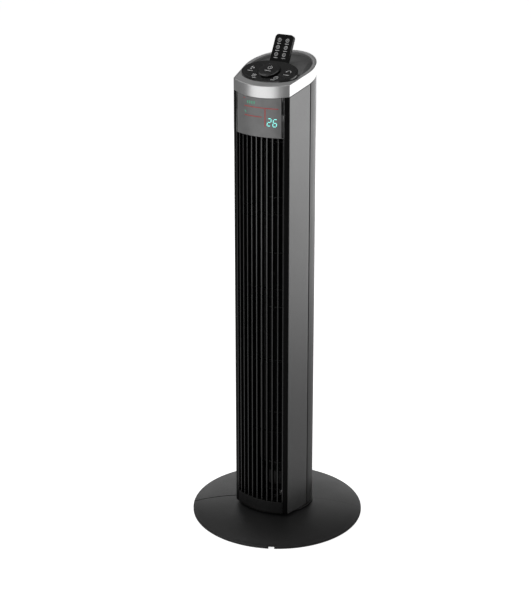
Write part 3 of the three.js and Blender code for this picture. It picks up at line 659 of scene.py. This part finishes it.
def surround():
    """The two upright jambs beside the grille, joined by three rails behind it."""
    parts = []
    for side in (-1, 1):
        near, far = sorted((side * JAMB_INNER, side * JAMB_OUTER))
        parts.append(front_wall(0, JAMB_DEPTH, near, far, flat(COLUMN_BOTTOM), UNDER_BAND, 6))
    for z, tall in RAILS:
        rail = front_wall(RAIL_INSET, JAMB_DEPTH, -WINDOW_HALF, WINDOW_HALF, flat(z), flat(z + tall))
        parts.append(rail)
    return merged(*parts)


piece("front_surround", surround(), "column", FRAME_PLASTIC, ["front_frame"], bevel=0.8)

skirt_bottom = flat(COLUMN_BOTTOM + 0.2)
skirt = front_wall(0, WALL, -WINDOW_HALF, WINDOW_HALF, skirt_bottom, flat(PANEL_TOP - GAP), 40)
piece("front_skirt", skirt, "column", LOWER_PLASTIC, ["lower_panel"], bevel=0.8)


def grille():
    """The upright fins, 2 mm thick, and a post at each side."""
    bottom = flat(PANEL_TOP)
    top = flat(GRILLE_TOP - GAP)
    pitch = 2 * WINDOW_HALF / (FINS + 1)
    half = 1 / FRONT_RADIUS
    parts = []
    for i in range(1, FINS + 1):
        angle = -WINDOW_HALF + pitch * i
        parts.append(front_wall(0, FIN_DEPTH, angle - half, angle + half, bottom, top, 2))
    for side in (-1, 1):
        edges = sorted((side * WINDOW_HALF, side * (WINDOW_HALF - 2 * half)))
        parts.append(front_wall(0.2, FIN_DEPTH, edges[0], edges[1], bottom, top, 2))
    return merged(*parts)


def grille_ribs():
    """Cross ribs behind the fins: one at each end and four between."""
    low = PANEL_TOP
    high = GRILLE_TOP - GAP
    end = 2.5
    levels = [(low, end), (high - end, end)] + [(low + (high - low) * i / 5, 2) for i in range(1, 5)]
    reach = WINDOW_HALF - 0.01
    front = 6.2
    back = FIN_DEPTH - 0.1
    ribs = [front_wall(front, back, -reach, reach, flat(z), flat(z + tall), 30) for z, tall in levels]
    return merged(*ribs)


piece("grille_fins", grille(), "column", GRILLE_PLASTIC, ["front_grille"], bevel=0.35)
piece("grille_ribs", grille_ribs(), "column", FRAME_PLASTIC, bevel=0.4)

lens = front_wall(0, 2.2, -WINDOW_HALF, WINDOW_HALF, flat(GRILLE_TOP), UNDER_BAND, 48)
piece("display_window", lens, "column", LENS, ["display_lens"], bevel=0.5)

# ------------------------------------------------------------------ thin marks


def on_lens(u, v, w):
    """u across the bulged front, v the height, w out from its surface."""
    x, y = front_point(asin(u / FRONT_RADIUS), -w)
    return (x, y, v)


def as_given(u, v, w):
    return (u, v, w)


def stroke(points, width, closed=False):
    """Quads of a line of one width through points."""
    path = [Vector(p) for p in points]
    count = len(path)
    sides = []
    for i, point in enumerate(path):
        before = path[(i - 1) % count] if closed or i else point
        after = path[(i + 1) % count] if closed or i < count - 1 else point
        run = (after - before).normalized()
        across = Vector((-run.y, run.x)) * width / 2
        sides.append((point + across, point - across))
    last = count if closed else count - 1
    quads = []
    for i in range(last):
        a = sides[i]
        b = sides[(i + 1) % count]
        quads.append([a[0], a[1], b[1], b[0]])
    return quads


def marks(name, polygons, place, low, high, body, material, matrix=IN_PLACE):
    """Thin printed or lit shapes: each polygon, put in space by place, is raised from low to high."""
    bm = bmesh.new()
    for polygon in polygons:
        bottom = [bm.verts.new(place(p[0], p[1], low)) for p in polygon]
        top = [bm.verts.new(place(p[0], p[1], high)) for p in polygon]
        bm.faces.new(bottom)
        bm.faces.new(top)
        for i in range(len(polygon)):
            n = (i + 1) % len(polygon)
            bm.faces.new((bottom[i], bottom[n], top[n], top[i]))
    bmesh.ops.recalc_face_normals(bm, faces=bm.faces)
    return piece(name, bm, body, material, matrix=matrix, bevel=0)


def arc(radius, start, stop, u=0.0, v=0.0, steps=16):
    """Points on a circle between two angles in degrees."""
    return [(u + radius * cos(radians(t)), v + radius * sin(radians(t))) for t in along(start, stop, steps)]


def subdivided(a, b, steps):
    return [(a[0] + (b[0] - a[0]) * t, a[1] + (b[1] - a[1]) * t) for t in along(0, 1, steps)]


SEGMENTS = {"2": "abged", "6": "afgedc"}


def digit(character, u, v, width, height, thick):
    """A seven-segment figure whose lower left corner is at u, v, leaning a little to the right."""
    lean = 0.12
    half = height / 2
    inset = thick * 0.6
    ends = {
        "a": ((inset, height), (width - inset, height)),
        "g": ((inset, half), (width - inset, half)),
        "d": ((inset, 0), (width - inset, 0)),
        "f": ((0, half + inset), (0, height - inset)),
        "e": ((0, inset), (0, half - inset)),
        "b": ((width, half + inset), (width, height - inset)),
        "c": ((width, inset), (width, half - inset)),
    }
    polygons = []
    for letter in SEGMENTS[character]:
        points = [(u + x + lean * y, v + y) for x, y in ends[letter]]
        polygons += stroke(points, thick)
    return polygons


# Black strips on the lens at its left and right edges: painted shade cast by the window's side walls.
EDGE_SHADE_WIDTH = 4.4
EDGE_SHADE_AT = FRONT_RADIUS * sin(WINDOW_HALF - 0.026)
LINE_WIDTH = 1.5
LINE_LEFT = -28
UPPER_LINE = 869
LOWER_LINE = 851.5
DIGIT_SIZE = (6.6, 14, LINE_WIDTH)

lens_edge_shade = []
for edge in (-EDGE_SHADE_AT, EDGE_SHADE_AT):
    ends = [(edge, GRILLE_TOP + 0.6), (edge, cap_height(CORNER_Y, BAND_HEIGHT) - 1.2)]
    lens_edge_shade += stroke(ends, EDGE_SHADE_WIDTH)
marks("display_edge_painted_shade", lens_edge_shade, on_lens, -0.2, 0.15, "column", PIANO_BLACK)

lines = stroke(subdivided((LINE_LEFT, UPPER_LINE), (43.5, UPPER_LINE), 24), LINE_WIDTH)
lines += stroke(subdivided((LINE_LEFT, LOWER_LINE), (11.5, LOWER_LINE), 14), LINE_WIDTH)
lines += stroke([(18.5, UPPER_LINE - LINE_WIDTH), (18.5, 834)], 1.9)
lines += stroke([(-31, 884), (-26, 884)], 1.2)
marks("display_lines", lines, on_lens, 0.02, 0.12, "column", RED_LIGHT)

bars = []
for u in (-20, -15, -10, -5):
    bars += stroke([(u, 874.5), (u + 0.6, 880)], LINE_WIDTH)
bars += stroke([(-27, 860.5), (-24.2, 856.5)], 1.3)
marks("display_bars", bars, on_lens, 0.02, 0.12, "column", GREEN_LIGHT)

figures = digit("2", 22.4, 836, *DIGIT_SIZE) + digit("6", 33.2, 835, *DIGIT_SIZE)
marks("display_figures", figures, on_lens, 0.02, 0.14, "column", CYAN_LIGHT)

# ------------------------------------------------------------------ silver band and cap

band = wall(outline(0), outline(WALL), sloped(BAND_HEIGHT), sloped(0), closed=True)
piece("silver_band", band, "column", SILVER, ["silver_trim"], bevel=0.8)

CAP_FLOOR = 860  # below everything in the cap
CAP_SKY = 1000  # and above it
PLATE_DROP = 8.4
TRAY_DROP = 5.4
TRAY_RIM = 5
CAP_INSET = WALL + GAP


def remote_pocket(near):
    """Room for the remote and its holder, from near, measured down from the remote's top edge."""
    grow = 2.6
    half = REMOTE_WIDTH / 2 + grow
    far = REMOTE_LENGTH + 4
    return moved(box(-half, half, -far, -near, -REMOTE_THICKNESS - grow, grow), ON_REMOTE)


def cap_plate():
    """The sloped top inside the band, with its sunk tray, the panel's hole and the remote's pocket."""
    plate = slab(outline(CAP_INSET), sloped(PLATE_DROP), sloped(0.4))
    tray_path = [(x, y) for x, y in outline(CAP_INSET + TRAY_RIM) if y > PANEL_Y]
    tray = slab(tray_path, sloped(TRAY_DROP), sloped(-5))
    hole = slab(panel_oval(GAP), flat(CAP_FLOOR), flat(CAP_SKY))
    return cut(plate, tray, hole, remote_pocket(30))


def tray_shade_sheet():
    """A thin grey sheet on the tray's floor, darker than the cap: painted shade of the sunken tray."""
    path = [(x, y) for x, y in outline(CAP_INSET + TRAY_RIM + 0.3) if y > PANEL_Y + 2]
    sheet = slab(path, sloped(TRAY_DROP), sloped(TRAY_DROP - 0.5))
    panel_room = slab(panel_oval(0.6), flat(CAP_FLOOR), flat(CAP_SKY))
    return cut(sheet, panel_room, remote_pocket(30))


piece("cap_plate", cap_plate(), "column", CAP_GREY, ["top_cap"], bevel=0.6)
piece("cap_tray_painted_shade", tray_shade_sheet(), "column", TRAY_SHADE_GREY, bevel=0)

# ------------------------------------------------------------------ control panel

LID = 3  # thickness of the lid's top
SKIRT = 2.4  # and of its sides
LID_BORDER = 3  # between the outer buttons and the lid's edge
BUTTON_BOTTOM = -3.8
BUTTON_TOP = 0.5
SPANS = {"left": (150, 200), "front_left": (200, 270), "front_right": (270, 340), "right": (340, 390)}


def segment_path(span, inset):
    """Plan of one outer button in the panel's plane: a part of a ring between two bearings."""
    half_width = PANEL_HALF_WIDTH - LID_BORDER - inset
    half_depth = PANEL_DEPTH - LID_BORDER - inset
    gap = 0.6 + inset
    first = radians(span[0])
    last = radians(span[1])

    def oval_radius(bearing):
        return half_width * half_depth / hypot(half_depth * cos(bearing), half_width * sin(bearing))

    outer = []
    for t in along(0, 1, 20):
        bearing = first + (last - first) * t
        shift = gap / oval_radius(bearing) * (1 - 2 * t)
        bearing += shift
        radius = oval_radius(bearing)
        outer.append((radius * cos(bearing), radius * sin(bearing)))
    inner_radius = SEGMENT_INNER + inset
    shift = gap / inner_radius
    inner_bearings = along(last - shift, first + shift, 12)
    return outer + [(inner_radius * cos(b), inner_radius * sin(b)) for b in inner_bearings]


def through_lid(path):
    return moved(slab(path, flat(-20), flat(6)), ON_PANEL)


def panel_lid():
    """The glossy lid: hollow below, with a hole for each button and for the remote."""
    rise = tan(PANEL_SLOPE)

    def plane(x, y):
        return PANEL_CENTRE[2] + rise * (y - PANEL_Y)

    def under(x, y):
        return min(cap_height(y, PLATE_DROP), plane(x, y) - LID)

    def ceiling(x, y):
        return plane(x, y) - LID

    lid = slab(panel_oval(), under, plane)
    room = slab(panel_oval(-SKIRT), flat(CAP_FLOOR), ceiling)
    power = through_lid(circle(POWER_RADIUS + 0.4, steps=96))
    windows = [through_lid(segment_path(span, 0)) for span in SPANS.values()]
    return cut(lid, room, power, *windows, remote_pocket(50))


piece("panel_lid", panel_lid(), "column", PIANO_BLACK, ["control_panel"])


def power_cap():
    """The round middle button, a little crowned, with a rounded edge 1.4 wide and 1.1 high."""
    shoulder = POWER_HEIGHT - 2
    section = [(0, BUTTON_BOTTOM), (POWER_RADIUS, BUTTON_BOTTOM), (POWER_RADIUS, shoulder)]
    for t in along(0.3, pi / 2, 5):
        section.append((POWER_RADIUS - 1.4 + 1.4 * cos(t), shoulder + 1.1 * sin(t)))
    section += [(POWER_RADIUS * k, POWER_HEIGHT - k**2) for k in (0.8, 0.6, 0.4, 0.2)]
    section.append((0, POWER_HEIGHT))
    return turned(section)


piece("power_cap", power_cap(), "power_button", BUTTON_BLACK, ["power_button"], ON_PANEL, bevel=0)

for place, span in SPANS.items():
    button = f"button_{place}"
    segment = slab(segment_path(span, 0.4), flat(BUTTON_BOTTOM), flat(BUTTON_TOP))
    piece(f"segment_{place}", segment, button, BUTTON_BLACK, [button], ON_PANEL, bevel=0.45)


def label_bar(u, v, length, width=LINE_WIDTH):
    return stroke([(u - length / 2, v), (u + length / 2, v)], width)


def blade_icon(u, v):
    """Three fan blades round a hub."""
    polygons = []
    for turn in (90, 210, 330):
        leading = arc(4.6, turn, turn + 70, u, v, 5)
        root = (u + cos(radians(turn)), v + sin(radians(turn)))
        polygons.append([root] + leading)
    return polygons


def clock_icon(u, v):
    """A ring with two hands."""
    hands = stroke([(u, v + 2.6), (u, v)], 1.0) + stroke([(u, v), (u + 2.0, v)], 1.0)
    return stroke(circle(4.0, u, v, 24), 1.1, closed=True) + hands


def wave_icon(u, v):
    """Three wavy lines of air."""
    polygons = []
    for row in (-2.6, 0, 2.6):
        points = [(u + x, v + row + 0.8 * sin(x * 1.3)) for x in along(-4.6, 4.6, 12)]
        polygons += stroke(points, 1.1)
    return polygons


def swing_icon(u, v):
    """An arc with an arrow head at each end."""
    heads = [
        [(u - 6.2, v + 1.0), (u - 2.8, v + 1.0), (u - 5.0, v - 2.2)],
        [(u + 6.2, v + 1.0), (u + 2.8, v + 1.0), (u + 5.0, v - 2.2)],
    ]
    return stroke(arc(5.0, 20, 160, u, v - 1.0), 1.2) + heads


ICONS = {
    "left": blade_icon(-40, 3.5) + label_bar(-40, -6, 12),
    "front_left": wave_icon(-24, -18) + label_bar(-20.5, -25, 9),
    "front_right": clock_icon(24, -18) + label_bar(20.5, -25, 9),
    "right": swing_icon(40, 3.5) + label_bar(40, -6, 12),
}
for place, polygons in ICONS.items():
    button = f"button_{place}"
    marks(f"print_{place}", polygons, as_given, BUTTON_TOP, BUTTON_TOP + 0.1, button, PRINT_WHITE, ON_PANEL)

power_sign = stroke(arc(4.3, -230, 50, 0, 4.5), 1.2) + stroke([(0, 10), (0, 5)], 1.2) + label_bar(0, -5, 13)
sign_bottom = POWER_HEIGHT - 0.3
sign_top = POWER_HEIGHT + 0.1
marks("print_power", power_sign, as_given, sign_bottom, sign_top, "power_button", PRINT_WHITE, ON_PANEL)

# ------------------------------------------------------------------ remote


KEY_COLUMN = 8.7  # each column of keys from the middle
KEY_FIRST = 11.8  # the first row from the top edge
KEY_PITCH = 14.1
KEYS = [(side * KEY_COLUMN, -(KEY_FIRST + KEY_PITCH * row)) for row in range(3) for side in (-1, 1)]
FACE_BOTTOM = -3.3
DRAWER_HALF = 13.3
DRAWER_LENGTH = 26.3
DRAWER_BOTTOM = -6.3


def card():
    """The remote's outline, its top edge on v = 0."""
    half = REMOTE_WIDTH / 2 - REMOTE_CORNER
    top = -REMOTE_CORNER
    bottom = -REMOTE_LENGTH + REMOTE_CORNER
    path = []
    for u, v, start in ((half, top, 0), (-half, top, 90), (-half, bottom, 180), (half, bottom, 270)):
        path += arc(REMOTE_CORNER, start, start + 90, u, v, 8)
    return path


def key_cap(u, v):
    """A round key with a wider foot and a low crown."""
    foot = KEY_RADIUS + 0.3
    foot_bottom = -2.4
    foot_top = -1.7
    shoulder = 0.2
    section = [(0, foot_bottom), (foot, foot_bottom), (foot, foot_top)]
    section += [(KEY_RADIUS, foot_top), (KEY_RADIUS, shoulder)]
    for t in along(0.3, pi / 2, 4):
        section.append((KEY_RADIUS - 0.5 + 0.5 * cos(t), shoulder + 0.4 * sin(t)))
    section.append((0, 0.7))
    return turned(section, 40, u, v)


holes = [slab(circle(KEY_RADIUS + 0.5, u, v, 32), flat(-5), flat(2)) for u, v in KEYS]
face = cut(slab(card(), flat(FACE_BOTTOM), flat(0)), *holes)
drawer_inner = -REMOTE_LENGTH + DRAWER_LENGTH
drawer_room = box(-DRAWER_HALF, DRAWER_HALF, -REMOTE_LENGTH - 1, drawer_inner, DRAWER_BOTTOM, 0)
rear = cut(slab(card(), flat(-REMOTE_THICKNESS), flat(FACE_BOTTOM - GAP)), drawer_room)
for name, half, node in (("face", face, "remote_front"), ("rear", rear, "remote_back")):
    piece(
        f"remote_{name}", half, "remote", REMOTE_PLASTIC, [node], ON_REMOTE,
        bevel=1.0, limit=50,
    )

for number, (u, v) in enumerate(KEYS, 1):
    key = f"key_{number}"
    piece(
        f"key_cap_{number}", key_cap(u, v), key, KEY_RUBBER, [f"remote_{key}"], ON_REMOTE,
        bevel=0,
    )
    sign = stroke(circle(3.3, u, v, 24), 1.0, closed=True) + label_bar(u, v, 2.6, 1.0)
    marks(f"key_print_{number}", sign, as_given, 0.55, 0.78, key, KEY_PRINT, ON_REMOTE)

labels = []
for u, v in KEYS:
    labels += label_bar(u, v - 6.7, 8.4, 1.3)
marks("remote_labels", labels, as_given, 0.01, 0.08, "remote", PRINT_WHITE, ON_REMOTE)

# ------------------------------------------------------------------ blower


BLOWER_Y = 12
BLOWER_BOTTOM = 119
BLOWER_TOP = 797
BLOWER_RADIUS = 45.5
BLADES = 28
BLADE_HALF = 0.55
BLADE_ROOT = 33
BLADE_WIDTH = 12
DISC = 2.4


def blade(turn):
    """One upright blade, curved forward towards its inner edge."""
    sides = ([], [])
    for t in along(0, 1, 5):
        radius = BLADE_ROOT + BLADE_WIDTH * t
        bearing = turn + 0.34 * (1 - t) ** 1.6
        for side, shift in zip(sides, (BLADE_HALF, -BLADE_HALF)):
            x = radius * cos(bearing) - shift * sin(turn)
            y = BLOWER_Y + radius * sin(bearing) + shift * cos(turn)
            side.append((x, y))
    return wall(*sides, flat(BLOWER_BOTTOM + 1), flat(BLOWER_TOP - 1))


def blower_disc(hole, bottom, top):
    section = [(hole, bottom), (BLOWER_RADIUS, bottom), (BLOWER_RADIUS, top), (hole, top)]
    return turned(section, 64, 0, BLOWER_Y)


def impeller():
    """The long cross-flow wheel: blades, rings that hold them between, and a disc at each end."""
    parts = [blade(2 * pi * i / BLADES) for i in range(BLADES)]
    parts += [blower_disc(32.2, z - 0.8, z + 0.8) for z in along(BLOWER_BOTTOM, BLOWER_TOP, 6)[1:-1]]
    parts.append(blower_disc(4.3, BLOWER_BOTTOM, BLOWER_BOTTOM + DISC))
    parts.append(blower_disc(0, BLOWER_TOP - DISC, BLOWER_TOP))
    return merged(*parts)


wheel = impeller()
piece("blower_wheel", wheel, "blower", INNER_PLASTIC, ["impeller"], bevel=0.25, segments=1)

# ------------------------------------------------------------------ CAD pieces shown as they are

KEPT = {
    "base_hub": INNER_PLASTIC,
    "bottom_chassis": INNER_PLASTIC,
    "swivel_tube": STEEL,
    "display_board": BOARD,
    "control_board": BOARD,
    "power_board": BOARD,
    "cable_gland": RUBBER,
    "remote_holder": FRAME_PLASTIC,
    "main_motor": INNER_PLASTIC,
    "motor_bracket": INNER_PLASTIC,
    "upper_bearing": RUBBER,
    "bearing_bracket": INNER_PLASTIC,
    "scroll_wall": FRAME_PLASTIC,
    "nose_wall": FRAME_PLASTIC,
    "oscillation_motor": STEEL,
    "impeller_coupling": STEEL,
    "impeller_journal": STEEL,
    "crank": NYLON,
    "battery_drawer": REMOTE_PLASTIC,
}
for i in range(1, 5):
    KEPT[f"foot_{i}"] = RUBBER
    KEPT[f"base_screw_{i}"] = STEEL
    KEPT[f"housing_screw_{i}"] = STEEL
for name, material in KEPT.items():
    node = nodes[name]
    node.data.materials.clear()
    node.data.materials.append(material)
    round_edges(node, 0.3, 2, 40)

# ------------------------------------------------------------------ stage, light and camera

FLOOR_RADIUS = 14000
FLOOR_THICKNESS = 12
FLOOR_SEEN = 0.86  # how much the floor glows in the camera's view, to be as pale as the backdrop
GLOW_BEARING = radians(134)  # behind on the right, where the floor lights the side panel
GLOW_START = 0.75  # metres from the origin
GLOW_END = 2.3
GLOW = 1.8
WORLD_SEEN = 1.0
WORLD_LIGHT = 0.16


def for_camera(tree, socket, seen, unseen):
    """Gives a socket one value for what the camera sees and another for the light it casts.

    Returns the input that holds the second value."""
    rays = tree.nodes.new("ShaderNodeLightPath")
    choice = tree.nodes.new("ShaderNodeMapRange")
    choice.inputs["To Min"].default_value = unseen
    choice.inputs["To Max"].default_value = seen
    tree.links.new(rays.outputs["Is Camera Ray"], choice.inputs["Value"])
    tree.links.new(choice.outputs["Result"], socket)
    return choice.inputs["To Min"]


def light_floor():
    """The floor glows evenly for the camera, and casts light only from one side, far off."""
    tree = FLOOR.node_tree
    shader = tree.nodes["Principled BSDF"]
    shader.inputs["Emission Color"].default_value = (1, 1, 1, 1)
    glow = for_camera(tree, shader.inputs["Emission Strength"], FLOOR_SEEN, 0.0)
    place = tree.nodes.new("ShaderNodeTexCoord").outputs["Object"]
    distance = tree.nodes.new("ShaderNodeVectorMath")
    distance.operation = "DOT_PRODUCT"
    distance.inputs[1].default_value = (sin(GLOW_BEARING), -cos(GLOW_BEARING), 0)
    tree.links.new(place, distance.inputs[0])
    spread = tree.nodes.new("ShaderNodeMapRange")
    spread.inputs["From Min"].default_value = GLOW_START
    spread.inputs["From Max"].default_value = GLOW_END
    spread.inputs["To Max"].default_value = GLOW
    tree.links.new(distance.outputs["Value"], spread.inputs["Value"])
    tree.links.new(spread.outputs["Result"], glow)


floor_mesh = bpy.data.meshes.new("floor")
floor_bm = slab(circle(FLOOR_RADIUS, steps=96), flat(-FLOOR_THICKNESS), flat(0))
floor_bm.transform(Matrix.Scale(0.001, 4))
floor_bm.to_mesh(floor_mesh)
floor_bm.free()
floor = bpy.data.objects.new("floor", floor_mesh)
floor_mesh.materials.append(FLOOR)
bpy.context.scene.collection.objects.link(floor)
light_floor()

world = bpy.data.worlds.new("studio")
world.use_nodes = True
background = world.node_tree.nodes["Background"]
background.inputs["Color"].default_value = (1, 1, 1, 1)
for_camera(world.node_tree, background.inputs["Strength"], WORLD_SEEN, WORLD_LIGHT)
bpy.context.scene.world = world


def softbox(name, bearing, distance, height, size, brightness, aim=(0, 0, 0.6)):
    """A soft area light, in metres, at a bearing in degrees from straight ahead, pointed at aim.

    Bearings grow to the right, and brightness is for each square metre of the light."""
    light = bpy.data.lights.new(name, "AREA")
    light.shape = "RECTANGLE"
    light.size, light.size_y = size
    light.energy = brightness * pi * size[0] * size[1]
    lamp = bpy.data.objects.new(name, light)
    angle = radians(bearing)
    lamp.location = (distance * sin(angle), -distance * cos(angle), height)
    lamp.rotation_euler = (Vector(aim) - lamp.location).to_track_quat("-Z", "Y").to_euler()
    lamp.visible_camera = False
    bpy.context.scene.collection.objects.link(lamp)


softbox("overhead", 0, 0.2, 2.9, (1.6, 1.6), 1.5)
softbox("high_left", -85, 1.65, 2.6, (1.3, 1.3), 1.5, (0, 0, 0.95))
softbox("side", 120, 1.15, 1.0, (0.75, 0.9), 0.8)
softbox("front_strip", -18, 1.3, 0.5, (1.35, 0.8), 1.4)
softbox("rear_left", -150, 3.0, 0.9, (2.6, 1.5), 1.1, (0, 0, 0.1))

CAMERA_BEARING = radians(31.77)
CAMERA_DISTANCE = 2.784
CAMERA_HEIGHT = 1.511
CAMERA_YAW = radians(0.50)
CAMERA_TILT = radians(18.14)
CAMERA_LENS = 89.58  # millimetres, for a sensor 36 wide
CAMERA_SHIFT = -0.11  # keeps the uprights nearer to parallel

camera_data = bpy.data.cameras.new("camera")
camera_data.sensor_width = 36
camera_data.lens = CAMERA_LENS
camera_data.shift_y = CAMERA_SHIFT
camera_data.clip_end = 60
camera = bpy.data.objects.new("camera", camera_data)
camera.location = (
    CAMERA_DISTANCE * sin(CAMERA_BEARING), -CAMERA_DISTANCE * cos(CAMERA_BEARING), CAMERA_HEIGHT
)
camera.rotation_euler = (pi / 2 - CAMERA_TILT, 0, CAMERA_BEARING + CAMERA_YAW)
bpy.context.scene.collection.objects.link(camera)
bpy.context.scene.camera = camera
bpy.context.scene.view_settings.view_transform = "Standard"
